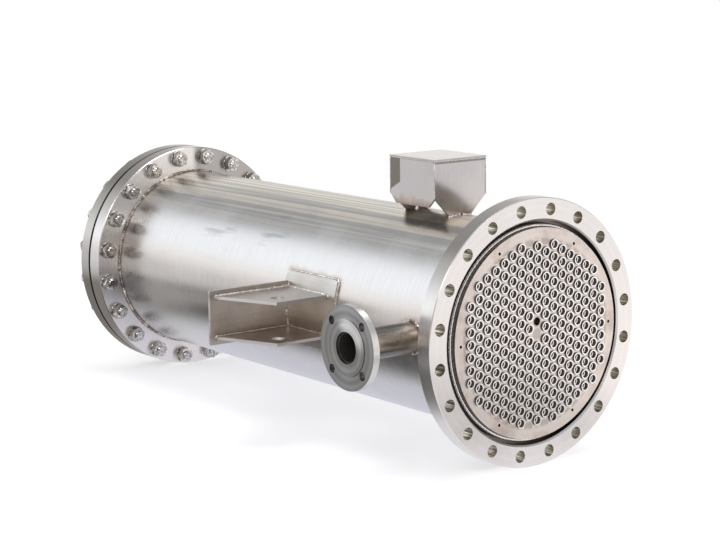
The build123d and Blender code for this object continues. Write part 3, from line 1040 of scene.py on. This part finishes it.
class EXCHANGER_OT_stage(bpy.types.Operator):
    """Add the floor, the soft lights, the white surroundings and the camera"""

    bl_idname = "exchanger.stage"
    bl_label = "Studio"

    def execute(self, context):
        settings = context.scene.exchanger_stage
        shared_groups()
        self.make_floor(settings)
        self.make_world()
        self.make_lights()
        self.make_camera(context.scene, settings)
        context.scene.view_settings.view_transform = "Standard"
        return {"FINISHED"}

    def make_floor(self, settings):
        """A pale floor that keeps the shadow near the object and turns white further out."""
        bm = bmesh.new()
        bmesh.ops.create_grid(
            bm, x_segments=8, y_segments=8, size=settings.floor_size / 2,
            matrix=Matrix.Translation((-0.2, AXIS_Y, CAD_BOX[0].z)),
        )
        mesh = bpy.data.meshes.new("studio_floor")
        bm.to_mesh(mesh)
        bm.free()
        floor = bpy.data.objects.new("studio_floor", mesh)
        bpy.context.scene.collection.objects.link(floor)
        material = bpy.data.materials.new("studio_floor_paint")
        mesh.materials.append(material)
        material.use_nodes = True
        self.paint_floor(material.node_tree, settings)

    def paint_floor(self, tree, settings):
        """Paint with a glow for the camera, and soft cards of painted light and painted shadow for what
        the steel reflects.
        """
        shader = tree.nodes["Principled BSDF"]
        shader.inputs["Roughness"].default_value = 0.9
        shader.inputs["Specular IOR Level"].default_value = 0.0
        spot = Value(tree.nodes.new("ShaderNodeTexCoord").outputs["Object"])
        speckle = noise(spot, 3.0, 3.0).spread(0.0, 0.15)
        base = mix(speckle, settings.floor_colour, (0.84, 0.84, 0.86))
        feed(base, shader.inputs["Base Color"])
        paint = Value(shader.outputs[0])
        x, y = separate(centred(spot, x=MIDDLE_X, y=AXIS_Y))[:2]
        seen = FLOOR_SEEN
        for middle, half, fade, card_colour in FLOOR_CARDS:
            away = patch_distance(x, y, middle, half)
            seen = mix(away.ramp(fade, 0.0), seen, card_colour)
        white = tree.nodes.new("ShaderNodeEmission")
        glow = tree.nodes.new("ShaderNodeEmission")
        glow.inputs["Strength"].default_value = FLOOR_GLOW
        lit = Value(new_node("ShaderNodeAddShader", paint, Value(glow.outputs[0])).outputs[0])
        far = patch_distance(x, y, (0, 0), (0, 0)).ramp(FADE_FROM, FADE_TO)
        for_camera = mix_shaders(far, lit, Value(white.outputs[0]))
        mirrored = Value(new_node("ShaderNodeEmission", seen).outputs[0])
        for_steel = mix_shaders(FLOOR_MIRROR, paint, mirrored)
        rays = tree.nodes.new("ShaderNodeLightPath").outputs
        done = mix_shaders(Value(rays["Is Glossy Ray"]), paint, for_steel)
        done = mix_shaders(Value(rays["Is Camera Ray"]), done, for_camera)
        feed(done, tree.nodes["Material Output"].inputs["Surface"])

    def make_world(self):
        """White for the camera; soft cards, pale and dark, for all that the steel reflects."""
        world = bpy.data.worlds.new("studio")
        bpy.context.scene.world = world
        world.use_nodes = True
        tree = world.node_tree
        towards = Value(tree.nodes.new("ShaderNodeTexCoord").outputs["Generated"])
        height = separate(towards)[2].ramp(-0.2, 1.0, kind="LINEAR")
        seen = colour_ramp(height, (
            (0.0, (0.70, 0.66, 0.64)), (1.0, (0.62, 0.63, 0.65)),
            (0.20, (0.76, 0.71, 0.67)), (0.45, (0.50, 0.50, 0.51)),
        ))
        for direction, inner, outer, card_colour in STUDIO_CARDS:
            nearness = Value(new_node(
                "ShaderNodeVectorMath", towards, Vector(direction).normalized(),
                operation="DOT_PRODUCT",
            ).outputs["Value"])
            mask = nearness.ramp(math.cos(math.radians(outer)), math.cos(math.radians(inner)))
            seen = mix(mask, seen, card_colour)
        reflected = tree.nodes["Background"]
        feed(seen, reflected.inputs["Color"])
        white = tree.nodes.new("ShaderNodeBackground")
        white.inputs["Color"].default_value = (1, 1, 1, 1)
        camera_ray = Value(tree.nodes.new("ShaderNodeLightPath").outputs["Is Camera Ray"])
        done = mix_shaders(camera_ray, Value(reflected.outputs[0]), Value(white.outputs[0]))
        feed(done, tree.nodes["World Output"].inputs["Surface"])

    def make_lights(self):
        """Soft boxes: name, direction, distance, width, height, power and colour."""
        middle = Vector((MIDDLE_X, AXIS_Y, AXIS_Z))
        for name, direction, distance, width, height, power, light_colour in (
            ("front_soft_box", (0.55, -0.75, 0.60), 4.0, 1.6, 1.2, 22, (1.0, 0.98, 0.96)),
            ("top_soft_box", (0.1, 0.1, 1.0), 3.4, 2.4, 1.2, 42, (1.0, 1.0, 1.0)),
        ):
            data = bpy.data.lights.new(name, "AREA")
            data.shape = "RECTANGLE"
            data.size, data.size_y = width, height
            data.energy = power
            data.color = light_colour
            lamp = bpy.data.objects.new(name, data)
            towards = Vector(direction).normalized()
            lamp.location = middle + towards * distance
            lamp.rotation_mode = "QUATERNION"
            lamp.rotation_quaternion = (-towards).to_track_quat("-Z", "Y")
            lamp.visible_camera = False
            bpy.context.scene.collection.objects.link(lamp)

    def make_camera(self, scene, settings):
        data = bpy.data.cameras.new("photo_camera")
        data.lens = settings.camera_lens
        data.sensor_width = 36
        camera = bpy.data.objects.new("photo_camera", data)
        azimuth, elevation = settings.camera_azimuth, settings.camera_elevation
        back = Vector((
            math.sin(azimuth) * math.cos(elevation), -math.cos(azimuth) * math.cos(elevation),
            math.sin(elevation),
        ))
        camera.location = settings.camera_place
        camera.rotation_mode = "QUATERNION"
        camera.rotation_quaternion = (-back).to_track_quat("-Z", "Y") @ Quaternion(
            (0, 0, 1), settings.camera_roll
        )
        scene.collection.objects.link(camera)
        scene.camera = camera


class EXCHANGER_OT_finishes(bpy.types.Operator):
    """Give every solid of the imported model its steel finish"""

    bl_idname = "exchanger.finishes"
    bl_label = "Finishes"

    def execute(self, context):
        colours = context.scene.exchanger_finishes
        shared_groups()
        # Painted shade in the front flange's recess
        recess = (
            front_high.x - RECESS_FLOOR, 0.0140, RECESS_RADIUS + 0.0012, -1, (0.22, 0.195, 0.18)
        )
        back = (front_low.x, 0.0010, SHELL_RADIUS, 1, (0.34, 0.31, 0.27))
        # Painted shade on the rims beside the gasket, between the rear flange and the cover
        joint = (
            (cover_high.x + rear_low.x) / 2, 0.0040, SHELL_RADIUS, 1, (0.03, 0.028, 0.026)
        )
        for node, metal, dark_places in (
            ("front_flange", colours.machined, (recess, back)),
            ("rear_flange", colours.machined, (joint,)),
            ("rear_cover", colours.cover, (joint,)),
        ):
            give_finish(machined_finish(node + "_turned", metal, dark_places), node)
        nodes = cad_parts
        give_finish(shell_finish(colours), "shell_barrel")
        give_finish(tubesheet_finish(colours), "front_tubesheet", "rear_tubesheet")
        give_finish(tube_finish(colours), *TUBE_COLUMNS)
        give_finish(gasket_finish(), "rear_gasket")
        give_finish(plate_finish(colours), *[name for name in nodes if "_lug_" in name])
        give_finish(box_finish(colours), *[name for name in nodes if name.startswith("box_")])
        for side, x, sign in (("near", NEAR_NOZZLE_X, -1), ("far", FAR_NOZZLE_X, 1)):
            give_finish(nozzle_finish(side + "_nozzle_turned", x, colours), side + "_nozzle_flange")
            give_finish(pipe_finish(side + "_pipe_tinted", x, sign, colours), side + "_nozzle_pipe")
        bead_finish("bead_burnt", (0.74, 0.68, 0.62), (0.16, 0.12, 0.10), 0.85)
        bead_finish("bead_bright", (0.92, 0.90, 0.87), (0.40, 0.33, 0.28), 0.6)
        bead_finish("bead_polished", (1.0, 0.98, 0.96), (0.84, 0.80, 0.77), 0.6)
        fastener_finish()
        return {"FINISHED"}


class EXCHANGER_OT_fasteners(bpy.types.Operator):
    """Add the rear cover's studs, nuts and washers, with a nut at both ends of each stud"""

    bl_idname = "exchanger.fasteners"
    bl_label = "Studs, nuts and washers"

    def execute(self, context):
        settings = context.scene.exchanger_fasteners
        dice = random.Random(7)
        studs, nuts, washers = bmesh.new(), bmesh.new(), bmesh.new()
        visible = settings.nut_height + settings.projection
        middle = (rear_high.x + cover_low.x) / 2
        shank = rear_high.x - middle + settings.washer_thickness
        around = Matrix.Rotation(math.pi, 4, "Y")
        for y, z in bolt_places(settings.circle, settings.count):
            self.add_stud(studs, settings, shank, visible, along_x(middle, y, z))
            for seat, turn in ((rear_high.x, Matrix.Identity(4)), (cover_low.x, around)):
                place = Matrix.Translation((seat, y, z)) @ turn
                self.add_washer(washers, settings, place @ along_x(0, 0, 0))
                twist = dice.uniform(0, TURN / 6)
                lifted = along_x(settings.washer_thickness, 0, 0, twist)
                made = hexagon_nut(nuts, settings.flats, settings.nut_height, settings.stud / 2)
                bmesh.ops.transform(nuts, matrix=place @ lifted, verts=made)
        new_piece("rear_studs", studs, "fastener_steel")
        new_piece("rear_nuts", nuts, "fastener_steel")
        new_piece("rear_washers", washers, "fastener_steel")
        return {"FINISHED"}

    def add_stud(self, bm, settings, shank, visible, place):
        """A stud with the same thread at both ends of its shank."""
        upper = [(radius, shank + height) for radius, height in thread_profile(settings, visible)]
        lower = [(radius, -height) for radius, height in reversed(upper)]
        bmesh.ops.transform(bm, matrix=place, verts=turned_shape(bm, lower + upper, STUD_SIDES))

    def add_washer(self, bm, settings, place):
        """A washer with both of its outer edges rounded off."""
        outer, inner = settings.washer / 2, settings.stud / 2 + WASHER_CLEARANCE
        narrow, thick = outer - WASHER_EDGE, settings.washer_thickness
        profile = (
            (narrow, 0.0), (outer, WASHER_EDGE), (outer, thick - WASHER_EDGE), (narrow, thick),
            (inner, thick), (inner, 0.0),
        )
        ring = turned_shape(bm, profile, WASHER_SIDES, hollow=True)
        bmesh.ops.transform(bm, matrix=place, verts=ring)


class EXCHANGER_OT_tube_rolls(bpy.types.Operator):
    """Add the step inside each tube's front end where its rolling stops"""

    bl_idname = "exchanger.tube_rolls"
    bl_label = "Rolled tube ends"

    def execute(self, context):
        settings = context.scene.exchanger_rolls
        inner = BORE_RADIUS - settings.height
        profile = ((BORE_RADIUS + STEP_SUNK, 0.0), (inner, -STEP_SLOPE), (inner, -STEP_LENGTH))
        bm = bmesh.new()
        for name in TUBE_COLUMNS:
            low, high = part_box(name)
            rows = round((high.z - low.z - 2 * TUBE_RADIUS) / TUBE_PITCH) + 1
            for row in range(rows):
                z = low.z + TUBE_RADIUS + row * TUBE_PITCH
                if name == TUBE_COLUMNS[len(TUBE_COLUMNS) // 2] and self.blank(z):
                    continue
                place = along_x(high.x - settings.depth, (low.y + high.y) / 2, z)
                step = turned_shape(bm, profile, STEP_SIDES, hollow=True)
                bmesh.ops.transform(bm, matrix=place, verts=step)
        new_piece("tube_end_steps", bm, "bright_tube_steel")
        return {"FINISHED"}

    def blank(self, z):
        """True at the two places of the middle column that hold no tube."""
        return round((z - AXIS_Z) / TUBE_PITCH) in (0, 1)


class EXCHANGER_OT_flange_welds(bpy.types.Operator):
    """Add the rippled beads of the two body flanges, and the bright one on the tubesheet's ledge"""

    bl_idname = "exchanger.flange_welds"
    bl_label = "Flange welds"

    def execute(self, context):
        settings = context.scene.exchanger_welds
        welder = Welder(settings, 11)
        for name, node, x in (
            ("rear_flange_bead", "rear_flange_weld", rear_high.x + FLANGE_BEAD_OFF),
            ("front_flange_bead", "front_flange_weld", front_low.x - FLANGE_BEAD_OFF),
        ):
            path = ring_path(x, SHELL_RADIUS + FLANGE_BEAD_OUT, welder.step)
            welder.lay(path, (1, 0, 0), settings.flange, closed=True)
            welder.finish(name, "bead_burnt", (node,))
        radius = TUBESHEET_FACE_RADIUS + LEDGE_BEAD_OUT
        path = ring_path(front_high.x - LEDGE_DROP, radius, LEDGE_STEP)
        welder.lay(path, (1, 0, 0), settings.ledge, closed=True, pitch=LEDGE_RIPPLE)
        welder.finish("tubesheet_ledge_bead", "bead_polished")
        return {"FINISHED"}


class EXCHANGER_OT_lug_welds(bpy.types.Operator):
    """Add the beads round each lug's pad and along its plates"""

    bl_idname = "exchanger.lug_welds"
    bl_label = "Lug welds"

    def execute(self, context):
        settings = context.scene.exchanger_welds
        welder = Welder(settings, 23)
        for name, side in (("near_lug_beads", -1), ("far_lug_beads", 1)):
            outline = pad_outline(side, welder.step)
            welder.lay(outline, (0, side, 0), settings.plate * PAD_BEAD_SHARE, closed=True)
            for start, end, up in self.plate_lines(side):
                welder.line(start, end, up, settings.plate)
            welder.finish(name, "bead_bright")
        return {"FINISHED"}

    def plate_lines(self, side):
        """Start, end and outward direction of each straight bead of one lug."""
        outer = SHELL_RADIUS + PAD_THICKNESS + PLATE_BEAD_OUT
        tip = AXIS_Y + side * (abs(base_low.y - AXIS_Y) - LUG_TIP_IN)
        front, plate_front = base_high.x, upper_high.x
        up, out = (0, 0, 1), (0, side, 0)
        for z in (upper_high.z, upper_low.z, lower_high.z, lower_low.z):
            root = side_at(outer, z, side)
            yield (front, tip, z), (front, root, z), up
            yield (front, root, z), (plate_front, root, z), up
        for x in (front, base_low.x):
            for low, high in self.spans(x):
                middle = (low + high) / 2
                root = side_at(outer, middle, side)
                yield (x, side_at(outer, low, side), low), (x, root, middle), out
                yield (x, root, middle), (x, side_at(outer, high, side), high), out
        for z in ((upper_low.z + upper_high.z) / 2, (lower_low.z + lower_high.z) / 2):
            for x, y in ((plate_front, side_at(outer, z, side)), (front, tip)):
                yield (x, y, z - LUG_HALF_PLATE), (x, y, z + LUG_HALF_PLATE), out

    def spans(self, x):
        """Height ranges of the base plate's upright beads: broken by the plates on the front."""
        if x == base_low.x:
            return [(base_low.z, AXIS_Z), (AXIS_Z, base_high.z)]
        return [
            (base_low.z, lower_low.z), (lower_high.z, AXIS_Z), (AXIS_Z, upper_low.z),
            (upper_high.z, base_high.z),
        ]


class EXCHANGER_OT_nozzle_welds(bpy.types.Operator):
    """Add the beads at both ends of each side nozzle's pipe"""

    bl_idname = "exchanger.nozzle_welds"
    bl_label = "Nozzle welds"

    def execute(self, context):
        settings = context.scene.exchanger_welds
        welder = Welder(settings, 31)
        for name, x, side in (
            ("near_nozzle_beads", NEAR_NOZZLE_X, -1), ("far_nozzle_beads", FAR_NOZZLE_X, 1),
        ):
            saddle = saddle_path(x, PIPE_RADIUS + PIPE_BEAD_OUT, side, welder.step)
            ring = [Vector((p.x, AXIS_Y + side * NOZZLE_BACK, p.z)) for p in saddle]
            for path in (saddle, ring):
                welder.lay(path, (0, side, 0), settings.nozzle, closed=True)
            welder.finish(name, "bead_burnt")
        return {"FINISHED"}


class EXCHANGER_OT_box_welds(bpy.types.Operator):
    """Add the beads along the box's corners, under its cap's edge and at its feet"""

    bl_idname = "exchanger.box_welds"
    bl_label = "Box welds"

    def execute(self, context):
        settings = context.scene.exchanger_welds
        welder = Welder(settings, 43)
        near_y, far_y = box_near_low.y, 2 * AXIS_Y - box_near_low.y
        low_x, high_x = box_near_low.x, box_near_high.x
        bottom, top = box_near_low.z + BOX_BEAD_UP, box_near_high.z
        for x in (low_x, high_x):
            for y in (near_y, far_y):
                welder.line((x, y, bottom), (x, y, top), (1, 0, 0), settings.box)
        corners = ((low_x, near_y), (high_x, near_y), (high_x, far_y), (low_x, far_y))
        for number, corner in enumerate(corners):
            end = corners[(number + 1) % 4]
            welder.line((*corner, top), (*end, top), (0, 0, 1), settings.box)
        for x in (box_front_high.x, box_rear_low.x):
            for side in (-1, 1):
                welder.lay(self.foot(x, side), (0, 0, 1), settings.plate)
        welder.finish("box_beads", "bead_bright")
        return {"FINISHED"}

    def foot(self, x, side):
        """Points along one foot of a standing plate, on the crown of the shell."""
        radius = SHELL_RADIUS + FOOT_BEAD_OUT
        steps = [side * (FOOT_START + FOOT_STEP * number) for number in range(FOOT_POINTS)]
        return [
            Vector((x, AXIS_Y + across, AXIS_Z + math.sqrt(radius ** 2 - across ** 2)))
            for across in steps
        ]


OPERATORS = (
    EXCHANGER_OT_stage, EXCHANGER_OT_finishes, EXCHANGER_OT_fasteners, EXCHANGER_OT_tube_rolls,
    EXCHANGER_OT_flange_welds, EXCHANGER_OT_lug_welds, EXCHANGER_OT_nozzle_welds,
    EXCHANGER_OT_box_welds,
)
SETTINGS = {
    "exchanger_stage": ExchangerStage, "exchanger_finishes": ExchangerFinishes,
    "exchanger_fasteners": ExchangerFasteners, "exchanger_rolls": ExchangerRolls,
    "exchanger_welds": ExchangerWelds,
}


class EXCHANGER_PT_sidebar(bpy.types.Panel):
    """Lists the exchanger's operators and settings"""

    bl_idname = "EXCHANGER_PT_sidebar"
    bl_label = "Heat exchanger"
    bl_space_type = "VIEW_3D"
    bl_region_type = "UI"
    bl_category = "Exchanger"

    def draw(self, context):
        for operator in OPERATORS:
            self.layout.operator(operator.bl_idname)
        for name in SETTINGS:
            settings = getattr(context.scene, name)
            box = self.layout.box()
            for field in settings.__annotations__:
                box.prop(settings, field)


CLASSES = (*SETTINGS.values(), *OPERATORS, EXCHANGER_PT_sidebar)


def register():
    for made in CLASSES:
        bpy.utils.register_class(made)
    for name, group in SETTINGS.items():
        setattr(bpy.types.Scene, name, PointerProperty(type=group))


def unregister():
    for name in SETTINGS:
        delattr(bpy.types.Scene, name)
    for made in reversed(CLASSES):
        bpy.utils.unregister_class(made)


def main():
    register()
    bpy.ops.exchanger.stage()
    bpy.ops.exchanger.finishes()
    bpy.ops.exchanger.fasteners()
    bpy.ops.exchanger.tube_rolls()
    bpy.ops.exchanger.flange_welds()
    bpy.ops.exchanger.lug_welds()
    bpy.ops.exchanger.nozzle_welds()
    bpy.ops.exchanger.box_welds()


if __name__ == "__main__":
    main()
